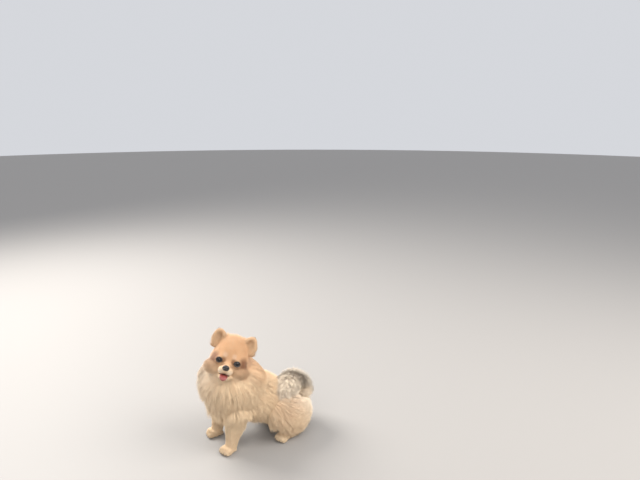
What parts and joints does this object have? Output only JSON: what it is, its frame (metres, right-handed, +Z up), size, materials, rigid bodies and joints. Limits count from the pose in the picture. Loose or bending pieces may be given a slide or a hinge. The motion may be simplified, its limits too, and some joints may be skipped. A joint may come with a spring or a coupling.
{
  "type": "pomeranian dog figure",
  "caption": "Life-size still model of a sitting toy dog with its head turned, prick ears, a deep neck ruff, a long coat and a plumed tail over its back.",
  "frame": {"origin": "on the floor, under the middle of the bounding box", "axes": "+Z up; the dog's body faces -Y and its left side is +X"},
  "size_m": [0.1852, 0.2564, 0.2531],
  "materials": {
    "cream_coat": "long soft cream fur",
    "apricot_coat": "soft apricot fur",
    "nose_leather": "moist black nose",
    "eye": "glossy dark brown",
    "tongue": "moist pink"
  },
  "bodies": {
    "root": {"nose": "nose_leather", "tongue": "tongue", "eye_left": "eye", "ear_left": "apricot_coat", "eye_right": "eye", "ear_right": "apricot_coat", "head": "apricot_coat", "neck": "cream_coat", "torso": "cream_coat", "tail": "cream_coat", "foreleg_left": "cream_coat", "hindleg_left": "cream_coat", "foreleg_right": "cream_coat", "hindleg_right": "cream_coat"}
  },
  "joints": []
}
